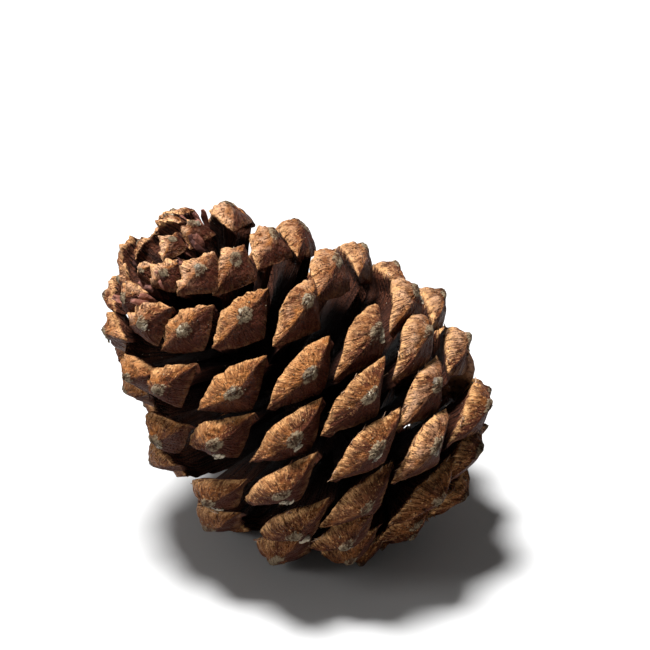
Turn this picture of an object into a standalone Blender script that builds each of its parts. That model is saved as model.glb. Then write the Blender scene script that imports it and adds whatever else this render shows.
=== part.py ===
"""An opened pine cone at rest on its side: one grown piece, a woody axis with scales set on it in spirals.

Units are metres. The cone is first built upright, with the stalk end of its axis at the origin and its
tip up. It is then leaned over until it rests on a few of its lower scales.
"""

import math

import bmesh
import bpy
from mathutils import Matrix, Vector

MM = 0.001

# Whole cone: the length of the axis and the spiral in which the scales are set
CONE_LENGTH = 75 * MM
SCALE_COUNT = 108
DIVERGENCE = math.radians(-138.6)
SPIRAL_EASING = math.radians(41.7)

# The cone is a little lopsided: on one side its scales sit farther from the tip
LOPSIDED = 0.11
LOPSIDED_TOWARDS = math.radians(-108.0)

# The scales change steadily from the tip to the stalk. These are the ranks, counted from the tip, at
# which the sizes below are given, in millimetres, and how far the spiral is swirled on, in degrees.
# The first few are stunted, in a hollow at the tip
RANKS = (0, 5, 13, 25, 40, 55, 70, 81, 93, 107)
UMBO_RADIUS = (2.0, 6.0, 12.8, 20.4, 27.2, 31.8, 31.2, 27.6, 18.5, 7.5)
UMBO_DEPTH = (8.0, 0.5, 2.8, 12.6, 27.0, 41.2, 54.0, 63.2, 71.5, 75.0)
ROOT_DEPTH = (14.0, 13.0, 18.0, 28.0, 39.0, 49.0, 58.0, 63.0, 67.5, 71.0)
WIDTH = (3.0, 6.5, 10.2, 15.2, 18.2, 19.4, 18.6, 17.5, 14.0, 8.0)
ABOVE_UMBO = (1.0, 2.2, 3.4, 4.0, 4.2, 4.2, 4.2, 4.0, 3.0, 1.8)
BELOW_UMBO = (1.2, 2.6, 4.2, 4.7, 4.5, 4.0, 3.8, 3.6, 2.6, 1.4)
FACE_SWEEP = (0.6, 1.2, 1.8, 2.4, 2.8, 3.0, 3.6, 4.4, 4.6, 3.0)
BLADE = (0.7, 0.9, 1.0, 1.1, 1.2, 1.2, 1.3, 1.4, 1.3, 1.0)
SWIRL = (15.0, 15.0, 14.0, 7.0, -2.0, -3.0, 3.0, -6.0, -6.0, -6.0)

# The shield, in shares of half its width: its corners stand back from the umbo and higher than it, its
# rim stands back from the keel, and the umbo sits a little to one side
CORNER_BACK = 0.35
CORNER_UP = 0.17
RIM_BACK = 0.12
UMBO_ASIDE = -0.12

# How much one scale differs from the next: turned, lifted and longer or shorter. The seeds pick which
# of the many irregular cones this one is
YAW_SPREAD = math.radians(4.5)
LIFT_SPREAD = math.radians(4.0)
REACH_SPREAD = 0.035
YAW_SEED = 1530.15
LIFT_SEED = 58.99
REACH_SEED = 728.13

# Woody axis: its radius at each height above the stalk end, from the tip down to the broken stalk
AXIS_HEIGHTS = (66.0, 55.0, 30.0, 8.0, 1.5, -1.0, -3.5)
AXIS_RADII = (1.6, 3.8, 5.5, 6.0, 5.0, 3.0, 2.6)
AXIS_SIDES = 8
ROOT_INSET = 1.2 * MM

# Rest: how the upright cone is spun, leaned and turned, and how much is worn off the scales that carry it
SPIN = math.radians(-108.5)
LEAN = math.radians(43.2)
HEADING = math.radians(173.8)
WORN = 1.5 * MM

GROUND_SIZE = 200 * MM
MERGE = 0.002 * MM

CONE_BROWN = (0.32, 0.16, 0.08, 1.0)
CONE_ROUGHNESS = 0.75

# Corners of a scale's outline, from its right-hand corner round over the top: the share of the half
# width, and +1 on the upper side, -1 on the lower side or 0 at the two sharp corners. The powers say how
# round the outline is: 1 is a triangle, more is an arch
OUTLINE = ((1.0, 0), (0.55, 1), (0.0, 1), (-0.55, 1), (-1.0, 0), (-0.55, -1), (0.0, -1), (0.55, -1))
UPPER_ARCH = 1.7
LOWER_ARCH = 1.25


def clear_scene():
    for obj in list(bpy.data.objects):
        bpy.data.objects.remove(obj)


def on_curve(rank, values):
    """The value at this rank, on a smooth curve through the values given at RANKS."""
    last = len(RANKS) - 1
    place = max(i for i in range(last) if RANKS[i] <= rank)
    span = RANKS[place + 1] - RANKS[place]
    share = (rank - RANKS[place]) / span
    before, after = max(place - 1, 0), min(place + 2, last)
    slope_in = (values[place + 1] - values[before]) / (RANKS[place + 1] - RANKS[before]) * span
    slope_out = (values[after] - values[place]) / (RANKS[after] - RANKS[place]) * span
    rise = values[place + 1] - values[place]
    bend_in = slope_in - rise
    bend_out = rise - slope_out
    bulge = share * (1 - share) * (bend_in * (1 - share) + bend_out * share)
    return values[place] + rise * share + bulge


def size_at(rank, sizes):
    """The size in metres at this rank, from sizes in millimetres."""
    return on_curve(rank, sizes) * MM


def whim(rank, trait):
    """A fixed number from -1 to 1 for this scale and trait, as irregular as growth."""
    wave = math.sin(rank * 12.9898 + trait * 78.233) * 43758.5453
    return 2 * (wave - math.floor(wave)) - 1


def scale_angle(rank):
    """Where round the axis this scale grows."""
    return DIVERGENCE * rank + SPIRAL_EASING * (rank / 60) ** 2 + math.radians(on_curve(rank, SWIRL))


def scale_frame(rank):
    """The frame of a scale: X to its right, Y outwards along its blade, Z towards the tip. Also its reach."""
    angle = scale_angle(rank)
    outwards = Vector((math.cos(angle), math.sin(angle), 0))
    radius, depth = size_at(rank, UMBO_RADIUS), size_at(rank, UMBO_DEPTH)
    depth += LOPSIDED * radius * math.cos(angle - LOPSIDED_TOWARDS)
    root = Vector((0, 0, CONE_LENGTH - size_at(rank, ROOT_DEPTH)))
    umbo = Vector((0, 0, CONE_LENGTH - depth)) + outwards * radius
    along = umbo - root
    reach = along.length * (1 + REACH_SPREAD * whim(rank, REACH_SEED))
    along.normalize()
    right = along.cross(Vector((0, 0, 1))).normalized()
    turned = Matrix.Rotation(YAW_SPREAD * whim(rank, YAW_SEED), 3, right.cross(along))
    lifted = Matrix.Rotation(LIFT_SPREAD * whim(rank, LIFT_SEED), 3, right)
    along = lifted @ turned @ along
    right = turned @ right
    up = right.cross(along)
    frame = Matrix((right, along, up)).transposed().to_4x4()
    frame.translation = root
    return frame, reach


def ring(half_width, above, below, y_of, corner_up=0.0):
    """The eight outline corners of one cross-section: an arch above, and nearly a triangle below."""
    corners = []
    for across, side in OUTLINE:
        middle = above if side > 0 else -below
        swell = 1 - abs(across) ** (UPPER_ARCH if side > 0 else LOWER_ARCH)
        lift = corner_up + (middle - corner_up) * swell
        corners.append(Vector((across * half_width, y_of(across, side), lift)))
    return corners


def scale_mesh(rank):
    """One scale: a thin blade that widens outwards and ends in a thick keeled shield with its umbo."""
    frame, reach = scale_frame(rank)
    half = size_at(rank, WIDTH) / 2
    above, below = size_at(rank, ABOVE_UMBO), size_at(rank, BELOW_UMBO)
    sweep, blade = size_at(rank, FACE_SWEEP), size_at(rank, BLADE)

    def rim_y(across, side):
        back = (RIM_BACK + CORNER_BACK * across * across) * half
        return reach - back - (sweep * (1 - across * across) if side < 0 else 0)

    rings = [
        ring(0.30 * half, 0.8 * blade, 0.8 * blade, lambda across, side: ROOT_INSET),
        ring(0.62 * half, 0.9 * blade, blade, lambda across, side: 0.45 * reach),
        ring(0.90 * half, blade, 1.3 * blade, lambda across, side: reach - sweep - 0.42 * half),
        ring(half, above, below, rim_y, CORNER_UP * half),
    ]
    keel = []
    for across in (0.55, 0.0, -0.55):
        back = RIM_BACK * (1 - (1 - abs(across)) ** 2) + CORNER_BACK * across * across
        aside = UMBO_ASIDE * (1 - abs(across))
        keel.append(Vector(((across + aside) * half, reach - back * half, CORNER_UP * across * across * half)))

    shape = bmesh.new()
    loops = [[shape.verts.new(frame @ corner) for corner in corners] for corners in rings]
    ridge = [shape.verts.new(frame @ point) for point in keel]
    shape.faces.new(list(reversed(loops[0])))
    sides = len(OUTLINE)
    for inner, outer in zip(loops, loops[1:]):
        for i in range(sides):
            j = (i + 1) % sides
            shape.faces.new((inner[i], inner[j], outer[j], outer[i]))
    rim = loops[-1]
    shape.faces.new((rim[0], rim[1], ridge[0]))
    shape.faces.new((rim[1], rim[2], ridge[1], ridge[0]))
    shape.faces.new((rim[2], rim[3], ridge[2], ridge[1]))
    shape.faces.new((rim[3], rim[4], ridge[2]))
    shape.faces.new((rim[4], rim[5], ridge[2]))
    shape.faces.new((rim[5], rim[6], ridge[1], ridge[2]))
    shape.faces.new((rim[6], rim[7], ridge[0], ridge[1]))
    shape.faces.new((rim[7], rim[0], ridge[0]))
    bmesh.ops.recalc_face_normals(shape, faces=shape.faces)
    bmesh.ops.triangulate(shape, faces=shape.faces)
    mesh = bpy.data.meshes.new(f"scale_{rank:03d}")
    shape.to_mesh(mesh)
    shape.free()
    return mesh


def settled_mesh(obj):
    """The object's mesh with its modifiers applied, in small flat triangles, without needless points."""
    bpy.context.view_layer.update()
    graph = bpy.context.evaluated_depsgraph_get()
    mesh = bpy.data.meshes.new_from_object(obj.evaluated_get(graph))
    shape = bmesh.new()
    shape.from_mesh(mesh)
    bmesh.ops.remove_doubles(shape, verts=shape.verts, dist=MERGE)
    bmesh.ops.triangulate(shape, faces=shape.faces)
    bmesh.ops.recalc_face_normals(shape, faces=shape.faces)
    shape.to_mesh(mesh)
    shape.free()
    return mesh


def make_axis(collection):
    """The woody axis with its stalk stub: a rod turned from its outline, thickest above the stalk."""
    outline = bmesh.new()
    heights = (AXIS_HEIGHTS[0],) + AXIS_HEIGHTS + (AXIS_HEIGHTS[-1],)
    radii = (0.0,) + AXIS_RADII + (0.0,)
    corners = [outline.verts.new((radius * MM, 0, height * MM)) for radius, height in zip(radii, heights)]
    for upper, lower in zip(corners, corners[1:]):
        outline.edges.new((upper, lower))
    mesh = bpy.data.meshes.new("axis_outline")
    outline.to_mesh(mesh)
    outline.free()
    axis = bpy.data.objects.new("pine_cone", mesh)
    collection.objects.link(axis)
    turned = axis.modifiers.new("turned", "SCREW")
    turned.steps = AXIS_SIDES
    turned.render_steps = AXIS_SIDES
    turned.use_merge_vertices = True
    turned.merge_threshold = MERGE
    axis.data = settled_mesh(axis)
    axis.modifiers.clear()
    return axis


def make_scales(collection):
    for rank in range(SCALE_COUNT):
        scale = bpy.data.objects.new(f"scale_{rank:03d}", scale_mesh(rank))
        collection.objects.link(scale)


def join_scales(cone, scales):
    """Fuses the scales to the axis in one Boolean union, and removes the loose scales."""
    union = cone.modifiers.new("scales", "BOOLEAN")
    union.operation = "UNION"
    union.operand_type = "COLLECTION"
    union.collection = scales
    union.solver = "EXACT"
    cone.data = settled_mesh(cone)
    cone.modifiers.clear()
    for scale in list(scales.objects):
        bpy.data.objects.remove(scale)
    bpy.data.collections.remove(scales)


def fill_hollows(cone):
    """Keeps the cone's outer skin: fills the hollows sealed in among crowded scales, and drops scraps."""
    shape = bmesh.new()
    shape.from_mesh(cone.data)
    unseen = set(shape.verts)
    shells = []
    while unseen:
        shell = [unseen.pop()]
        for vertex in shell:
            for edge in vertex.link_edges:
                other = edge.other_vert(vertex)
                if other in unseen:
                    unseen.remove(other)
                    shell.append(other)
        shells.append(shell)
    skin = max(shells, key=len)
    for shell in shells:
        if shell is not skin:
            bmesh.ops.delete(shape, geom=shell, context="VERTS")
    shape.to_mesh(cone.data)
    shape.free()


def rest_turn():
    """How the upright cone is turned to lie as it does."""
    spin = Matrix.Rotation(SPIN, 4, "Z")
    lean = Matrix.Rotation(LEAN, 4, "Y")
    heading = Matrix.Rotation(HEADING, 4, "Z")
    return heading @ lean @ spin


def lay_down(cone):
    """Leans the cone over on its lower scales, with the middle of its bounds over the origin."""
    cone.data.transform(rest_turn())
    spots = [vertex.co for vertex in cone.data.vertices]
    lowest = [min(spot[axis] for spot in spots) for axis in range(3)]
    highest = [max(spot[axis] for spot in spots) for axis in range(3)]
    middle = [(low + high) / 2 for low, high in zip(lowest, highest)]
    cone.data.transform(Matrix.Translation((-middle[0], -middle[1], -lowest[2] - WORN)))


def wear_flat(cone, cutters):
    """Takes off what would stand below the ground, which leaves small flat spots to rest on."""
    shape = bmesh.new()
    bmesh.ops.create_cube(shape, size=GROUND_SIZE)
    bmesh.ops.translate(shape, verts=shape.verts, vec=(0, 0, -GROUND_SIZE / 2))
    mesh = bpy.data.meshes.new("ground")
    shape.to_mesh(mesh)
    shape.free()
    ground = bpy.data.objects.new("ground", mesh)
    ground.hide_render = True
    ground.display_type = "WIRE"
    cutters.objects.link(ground)
    wear = cone.modifiers.new("wear", "BOOLEAN")
    wear.operation = "DIFFERENCE"
    wear.object = ground
    wear.solver = "EXACT"
    cone.data = settled_mesh(cone)
    cone.modifiers.clear()


def make_wood():
    wood = bpy.data.materials.new("cone_wood")
    wood.use_nodes = True
    shader = wood.node_tree.nodes["Principled BSDF"]
    shader.inputs["Base Color"].default_value = CONE_BROWN
    shader.inputs["Roughness"].default_value = CONE_ROUGHNESS
    return wood


def main():
    clear_scene()
    collection = bpy.data.collections.new("pine_cone")
    cutters = bpy.data.collections.new("cutters")
    scales = bpy.data.collections.new("scales")
    for made in (collection, cutters, scales):
        bpy.context.scene.collection.children.link(made)
    cone = make_axis(collection)
    make_scales(scales)
    join_scales(cone, scales)
    fill_hollows(cone)
    lay_down(cone)
    wear_flat(cone, cutters)
    cone.data.materials.append(make_wood())


main()
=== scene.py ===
"""An opened pine cone lying on its side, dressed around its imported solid. Units are metres."""

import math

import bmesh
import bpy
from mathutils import Matrix, Vector


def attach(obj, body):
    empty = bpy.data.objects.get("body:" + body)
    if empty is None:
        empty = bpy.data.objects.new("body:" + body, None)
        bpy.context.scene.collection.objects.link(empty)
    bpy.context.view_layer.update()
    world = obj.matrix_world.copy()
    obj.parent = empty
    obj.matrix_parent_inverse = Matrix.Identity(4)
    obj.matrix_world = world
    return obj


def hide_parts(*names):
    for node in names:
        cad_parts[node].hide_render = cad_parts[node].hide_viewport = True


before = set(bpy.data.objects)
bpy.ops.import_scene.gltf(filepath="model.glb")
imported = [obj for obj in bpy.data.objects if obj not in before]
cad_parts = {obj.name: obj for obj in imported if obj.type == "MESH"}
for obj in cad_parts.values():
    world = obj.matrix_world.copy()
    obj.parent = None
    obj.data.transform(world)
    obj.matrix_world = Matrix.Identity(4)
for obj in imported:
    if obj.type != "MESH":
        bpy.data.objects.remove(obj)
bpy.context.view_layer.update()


# The table and its light.
# The cone lies on a plain pale floor. A soft lamp hangs almost straight above it, a little to the left,
# and a weak one low on the left lights its edges. What faces the camera and the floor stays dark.

MM = 0.001

CAMERA_AT = (0.56 * MM, -649.81 * MM, 469.92 * MM)
CAMERA_AIM = (5.11 * MM, 6.52 * MM, 41.95 * MM)
LENS = 228.4
SENSOR_WIDTH = 36.0
FLOOR_SIZE = 6.0
FLOOR_PALE = (0.52, 0.52, 0.52, 1.0)
FLOOR_ROUGHNESS = 0.9
SKY_PALE = (1.0, 0.99, 0.98, 1.0)
SKY_STRENGTH = 0.14

# Each lamp: its place and breadth in metres, and its power in watts. Both shine on one point
KEY_LAMP = ((-0.28, 0.14, 1.60), 0.45, 64.0)
SIDE_LAMP = ((-1.30, -0.35, 0.60), 0.50, 5.0)
LIT_POINT = (0, 0, 30 * MM)


def aim(obj, target):
    """Turns a lamp or the camera, which look along their own -Z, towards a point."""
    obj.rotation_euler = (Vector(target) - obj.location).to_track_quat("-Z", "Y").to_euler()


def make_camera():
    lens = bpy.data.cameras.new("camera")
    lens.sensor_width = SENSOR_WIDTH
    lens.lens = LENS
    lens.clip_start = 0.01
    camera = bpy.data.objects.new("camera", lens)
    bpy.context.scene.collection.objects.link(camera)
    camera.location = CAMERA_AT
    aim(camera, CAMERA_AIM)
    bpy.context.scene.camera = camera


def make_lamp(name, place, size, power):
    light = bpy.data.lights.new(name, "AREA")
    light.shape = "DISK"
    light.size = size
    light.energy = power
    lamp = bpy.data.objects.new(name, light)
    bpy.context.scene.collection.objects.link(lamp)
    lamp.location = place
    aim(lamp, LIT_POINT)


def make_floor():
    shape = bmesh.new()
    bmesh.ops.create_grid(shape, x_segments=1, y_segments=1, size=FLOOR_SIZE / 2)
    mesh = bpy.data.meshes.new("floor")
    shape.to_mesh(mesh)
    shape.free()
    paint = bpy.data.materials.new("pale_floor")
    paint.use_nodes = True
    shader = paint.node_tree.nodes["Principled BSDF"]
    shader.inputs["Base Color"].default_value = FLOOR_PALE
    shader.inputs["Roughness"].default_value = FLOOR_ROUGHNESS
    mesh.materials.append(paint)
    floor = bpy.data.objects.new("floor", mesh)
    bpy.context.scene.collection.objects.link(floor)


def make_sky():
    sky = bpy.data.worlds.new("studio")
    sky.use_nodes = True
    glow = sky.node_tree.nodes["Background"]
    glow.inputs["Color"].default_value = SKY_PALE
    glow.inputs["Strength"].default_value = SKY_STRENGTH
    bpy.context.scene.world = sky
    bpy.context.scene.view_settings.view_transform = "Standard"


make_camera()
make_floor()
make_sky()
make_lamp("key_lamp", *KEY_LAMP)
make_lamp("side_lamp", *SIDE_LAMP)


# The woody axis and its stalk.
# A pine cone's scales all grow from one tapering woody axis. The stalk that held it to the branch has
# snapped off, and leaves a stub of torn fibres at the thick end. It is the same wood as the scales.

CONE_LENGTH = 75 * MM
STALK_END = Vector((23.066, -2.048, 7.041)) * MM
SPIN = math.radians(-108.5)
LEAN = math.radians(43.2)
HEADING = math.radians(173.8)

AXIS_HEIGHTS = (66.0, 55.0, 30.0, 8.0, 1.5, -1.0, -3.0)
AXIS_RADII = (1.6, 3.8, 5.4, 6.0, 5.0, 3.0, 2.5)
AXIS_SPOKES = 48
AXIS_RINGS = 60
GROOVE = 0.22 * MM
TORN = 0.7 * MM

# How fine each mottling of the wood is, in waves a metre, and how deep its relief is
PATCH_WAVES = 170.0
BEND_WAVES = 260.0
MOTTLE_WAVES = 700.0
FLECK_WAVES = 1900.0
SPECK_WAVES = 2400.0
FLECK_SHIFT = (0.3, 0.1, 0.2)
RELIEF_DEPTH = 0.8 * MM
WOOD_SHINE = 0.13

# Colours of the wood, aged by weather and oiled by resin, with a pale highlight and a near-black shade
# painted into it
WOOD_MID = (0.110, 0.030, 0.009)
WOOD_GOLD = (0.310, 0.110, 0.026)
WOOD_PINK = (0.140, 0.045, 0.020)
WOOD_RED = (0.048, 0.009, 0.003)
WOOD_GROOVE = (0.016, 0.005, 0.003)
WOOD_PALE_HIGHLIGHT = (0.740, 0.390, 0.160)
WOOD_PALE_AND_LIT = (0.620, 0.360, 0.215)
BLADE_PAINTED_SHADE = (0.016, 0.005, 0.003)
BLADE_BROWN = (0.150, 0.046, 0.022)
BLADE_GREY = (0.200, 0.125, 0.100)
UMBO_GREY = (0.280, 0.215, 0.135)
UMBO_DARK = (0.070, 0.034, 0.018)


class Wire:
    """One output of a node. Arithmetic on it adds Math nodes to its tree."""

    def __init__(self, web, socket):
        self.web = web
        self.socket = socket

    def out(self, name):
        return Wire(self.web, self.socket.node.outputs[name])

    def math(self, operation, *values):
        sockets = dict(enumerate(values))
        return self.web.node("ShaderNodeMath", {"operation": operation}, sockets)

    def __add__(self, other):
        return self.math("ADD", self, other)

    def __radd__(self, other):
        return self.math("ADD", other, self)

    def __sub__(self, other):
        return self.math("SUBTRACT", self, other)

    def __rsub__(self, other):
        return self.math("SUBTRACT", other, self)

    def __mul__(self, other):
        return self.math("MULTIPLY", self, other)

    def __rmul__(self, other):
        return self.math("MULTIPLY", other, self)

    def __truediv__(self, other):
        return self.math("DIVIDE", self, other)

    def clamp(self):
        return self.web.node("ShaderNodeClamp", {}, {"Value": self})


class Web:
    """A node tree, shader or geometry, written as expressions."""

    def __init__(self, tree):
        self.tree = tree

    def node(self, kind, settings, sockets, output=0):
        """Adds a node: its settings first, then the values or links of its sockets."""
        made = self.tree.nodes.new(kind)
        for name, value in settings.items():
            setattr(made, name, value)
        for name, value in sockets.items():
            self.feed(made.inputs[name], value)
        return Wire(self, made.outputs[output]) if made.outputs else None

    def feed(self, socket, value):
        if isinstance(value, Wire):
            self.tree.links.new(value.socket, socket)
        elif socket.type == "RGBA":
            socket.default_value = (*value, 1.0)
        else:
            socket.default_value = value

    def vector(self, operation, *values):
        """Vector arithmetic: one Vector Math node."""
        return self.node("ShaderNodeVectorMath", {"operation": operation}, dict(enumerate(values)))

    def scaled(self, vector, factor):
        """A vector made longer by a number, or by a link that carries one."""
        return self.node("ShaderNodeVectorMath", {"operation": "SCALE"}, {0: vector, "Scale": factor})

    def mix(self, share, colour_a, colour_b):
        """From colour_a at share 0 to colour_b at share 1."""
        settings = {"data_type": "RGBA", "clamp_factor": True}
        return self.node("ShaderNodeMix", settings, {0: share, 6: colour_a, 7: colour_b}, output=2)

    def noise(self, place, scale, detail=2.0, roughness=0.5):
        sockets = {"Vector": place, "Scale": scale, "Detail": detail, "Roughness": roughness}
        return self.node("ShaderNodeTexNoise", {}, sockets)

    def step(self, value, low, high):
        """0 below low, 1 above high, and smooth between them."""
        sockets = {"Value": value, "From Min": low, "From Max": high}
        return self.node("ShaderNodeMapRange", {"interpolation_type": "SMOOTHSTEP"}, sockets)


def new_object(name, mesh):
    made = bpy.data.objects.new(name, mesh)
    bpy.context.scene.collection.objects.link(made)
    return made


def write_mesh(name, points, faces, numbers):
    """A mesh with a named value at each point: a number, or three."""
    mesh = bpy.data.meshes.new(name)
    mesh.from_pydata(points, [], faces)
    for key, values in numbers.items():
        wide = hasattr(values[0], "__len__")
        kept = mesh.attributes.new(key, "FLOAT_VECTOR" if wide else "FLOAT", "POINT")
        flat = [part for value in values for part in value] if wide else values
        kept.data.foreach_set("vector" if wide else "value", flat)
    mesh.update()
    return mesh


def face_outwards(mesh):
    """Turns every face of a closed mesh to look out of it."""
    shape = bmesh.new()
    shape.from_mesh(mesh)
    bmesh.ops.recalc_face_normals(shape, faces=shape.faces)
    shape.to_mesh(mesh)
    shape.free()


def rest_turn():
    """How the upright cone is turned to lie as it does."""
    spin = Matrix.Rotation(SPIN, 4, "Z")
    lean = Matrix.Rotation(LEAN, 4, "Y")
    heading = Matrix.Rotation(HEADING, 4, "Z")
    return heading @ lean @ spin


LAID = Matrix.Translation(STALK_END) @ rest_turn()


def make_cone_wood():
    """Wood of the whole cone, with painted highlight and painted shade in its colour. Each point says how
    far it is shield, rim, umbo or blade, and how pale and lit.
    """
    wood = bpy.data.materials.new("cone_wood_grain")
    wood.use_nodes = True
    web = Web(wood.node_tree)
    shader = wood.node_tree.nodes["Principled BSDF"]

    def read(name, output="Fac"):
        return web.node("ShaderNodeAttribute", {"attribute_name": name}, {}, output)

    place = web.node("ShaderNodeTexCoord", {}, {}, "Object")
    grain = read("grain", "Vector")
    face, rim, umbo, upper, tone = (read(name) for name in ("face", "rim", "umbo", "upper", "tone"))
    inner, bleach, crest, age = (read(name) for name in ("inner", "bleach", "crest", "age"))

    bend = web.vector("SUBTRACT", web.noise(place, BEND_WAVES, 1.0).out("Color"), (0.5, 0.5, 0.5))
    ribs = web.noise(grain, 1.0, 2.0)
    bent = web.vector("ADD", web.vector("MULTIPLY", grain, (2.0, 1.0, 1.8)), web.scaled(bend, 3.0))
    fine = web.noise(bent, 1.0, 3.0, 0.6)
    broad = web.noise(web.vector("MULTIPLY", grain, (0.3, 0.5, 0.8)), 1.0, 1.0)
    patches = web.noise(place, PATCH_WAVES, 3.0, 0.55)
    mottle = web.noise(place, MOTTLE_WAVES, 3.0, 0.6)
    specks = web.noise(place, SPECK_WAVES, 2.0, 0.6)
    flecks = web.noise(web.vector("ADD", place, FLECK_SHIFT), FLECK_WAVES, 2.0, 0.6)

    # The shield: gold and brown in patches. Painted shade: dark red below the keel and on the scales
    # towards the stalk, with more gold on the upper field
    golden = patches + 0.10 * tone + 0.5 * (broad - 0.5) + 0.30 * (upper - 0.6)
    shield = web.mix(web.step(golden, 0.40, 0.64), WOOD_MID, WOOD_GOLD)
    shield = web.mix(0.55 * web.step(patches - 0.10 * tone, 0.52, 0.36), shield, WOOD_PINK)
    shield = web.mix(0.8 * web.step(golden, 0.44, 0.26), shield, WOOD_RED)
    # Painted shade: dark red on the lower field, below the keel
    shield = web.mix(0.90 * web.step(upper + 0.30 * (mottle - 0.5), 0.60, 0.30), shield, WOOD_RED)
    # Painted shade: darker red on the scales towards the stalk
    shield = web.mix(0.50 * web.step(age, 0.34, 0.50), shield, WOOD_RED)
    # Paler near the tip, with painted highlight where scales face up, on upper fields, crests and in
    # glints; dark in grooves and pits
    pale_and_lit_share = bleach * (0.1 + 0.9 * upper) * web.step(patches + 0.5 * (mottle - 0.5), 0.34, 0.54)
    pale_and_lit_share = pale_and_lit_share.clamp()
    shield = web.mix(0.85 * pale_and_lit_share, shield, WOOD_PALE_AND_LIT)
    # Painted highlight on the crests of the upper fields
    lit = web.step(crest + 0.9 * (mottle - 0.5) + 0.5 * (fine - 0.5), 0.50, 1.05)
    shield = web.mix(0.35 * lit, shield, WOOD_PALE_HIGHLIGHT)
    # Painted glints, mostly on the upper fields
    glints = web.step(0.5 * fine + 0.5 * flecks, 0.53, 0.62) * (0.1 + 0.9 * upper)
    shield = web.mix(0.50 * glints, shield, WOOD_PALE_HIGHLIGHT)
    grooves = web.step(0.7 * ribs + 0.3 * fine + 0.25 * (mottle - 0.5), 0.48, 0.38)
    shield = web.mix(0.6 * grooves, shield, WOOD_RED)
    pits = web.step(specks, 0.42, 0.33) + web.step(mottle, 0.36, 0.26)
    shield = web.mix(0.6 * pits.clamp(), shield, WOOD_GROOVE)

    # The blade: near black deep inside the cone as painted shade, and its own brown and grey where it nears
    # the shield
    out_of_shade = web.step(inner + 0.5 * (fine - 0.5), 0.70, 0.12)
    blade = web.mix(out_of_shade * web.step(0.5 * ribs + 0.5 * fine, 0.40, 0.58), BLADE_PAINTED_SHADE, BLADE_BROWN)
    blade = web.mix(0.6 * out_of_shade * web.step(fine + 0.4 * (mottle - 0.5), 0.56, 0.72), blade, BLADE_GREY)
    # Both together, with the rim's wear, pale and mostly on its upper side as painted highlight, and the
    # crusted umbo over them
    crust = web.mix(web.step(mottle + 0.5 * (specks - 0.5), 0.40, 0.58), UMBO_DARK, UMBO_GREY)
    colour = web.mix(face, blade, shield)
    worn_and_lit_rim = web.step(rim * (0.30 + mottle + 0.8 * (fine - 0.5)), 0.55, 0.95) * (0.2 + 0.8 * upper)
    colour = web.mix((0.45 + 0.4 * web.step(age, 0.4, 0.6)) * worn_and_lit_rim, colour, WOOD_PALE_HIGHLIGHT)
    crusted = web.step(umbo + 1.1 * (mottle - 0.5) + 0.9 * (specks - 0.5), 0.42, 0.66)
    colour = web.mix(0.85 * crusted, colour, crust)

    web.feed(shader.inputs["Base Color"], colour)
    web.feed(shader.inputs["Specular IOR Level"], WOOD_SHINE)
    web.feed(shader.inputs["Roughness"], 0.74 - 0.26 * face * web.step(patches, 0.40, 0.60))
    relief = 0.7 * fine + 1.1 * ribs + 0.7 * mottle + 0.5 * flecks + 0.35 * specks - 0.4 * pits
    bump = {"Height": relief, "Distance": RELIEF_DEPTH, "Strength": 1.0}
    web.feed(shader.inputs["Normal"], web.node("ShaderNodeBump", {}, bump))
    return wood


CONE_WOOD = make_cone_wood()


def axis_radius(height):
    """The axis's radius at this height, both in millimetres, straight between the sizes given."""
    for i in range(len(AXIS_HEIGHTS) - 1):
        high, low = AXIS_HEIGHTS[i], AXIS_HEIGHTS[i + 1]
        if height >= low:
            share = (high - height) / (high - low)
            return AXIS_RADII[i] + (AXIS_RADII[i + 1] - AXIS_RADII[i]) * min(max(share, 0.0), 1.0)
    return AXIS_RADII[-1]


def close_loft(rings, spokes):
    """Faces that join rings of points, each spokes long, and close both ends on a single point."""
    faces = []
    for ring in range(rings - 1):
        for i in range(spokes):
            j = (i + 1) % spokes
            a, b = ring * spokes, (ring + 1) * spokes
            faces.append((a + i, a + j, b + j, b + i))
    first, last = rings * spokes, rings * spokes + 1
    end = (rings - 1) * spokes
    for i in range(spokes):
        j = (i + 1) % spokes
        faces.append((first, j, i))
        faces.append((last, end + i, end + j))
    return faces


def make_axis():
    """A grooved rod from its outline, with a torn end at the stalk."""
    points, grain = [], []
    top, bottom = AXIS_HEIGHTS[0], AXIS_HEIGHTS[-1]
    for ring in range(AXIS_RINGS):
        height = top + (bottom - top) * ring / (AXIS_RINGS - 1)
        for spoke in range(AXIS_SPOKES):
            angle = math.tau * spoke / AXIS_SPOKES
            groove = math.sin(9 * angle) + 0.6 * math.sin(17 * angle + 0.08 * height)
            torn = TORN * math.sin(7 * angle) * math.sin(3 * angle + 1) if ring == AXIS_RINGS - 1 else 0.0
            radius = axis_radius(height) * MM + GROOVE * groove
            points.append((radius * math.cos(angle), radius * math.sin(angle), height * MM + torn))
            grain.append((math.cos(angle), math.sin(angle), 0.02 * height))
    points += [(0, 0, top * MM), (0, 0, bottom * MM)]
    grain += [(0, 0, 0), (0, 0, 0)]
    faces = close_loft(AXIS_RINGS, AXIS_SPOKES)
    blank = [0.0] * len(points)
    half = [0.45] * len(points)
    # The axis counts as deep inside the cone, so it takes the blades' near-black painted shade
    numbers = {name: blank for name in ("rim", "umbo", "tone", "bleach", "face", "age")}
    numbers |= {"grain": grain, "upper": half, "crest": blank, "inner": [1.0] * len(points)}
    mesh = write_mesh("woody_axis", [LAID @ Vector(point) for point in points], faces, numbers)
    face_outwards(mesh)
    mesh.shade_smooth()
    mesh.materials.append(CONE_WOOD)
    return new_object("woody_axis", mesh)


axis = make_axis()
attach(axis, "root")
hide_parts("pine_cone")


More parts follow.
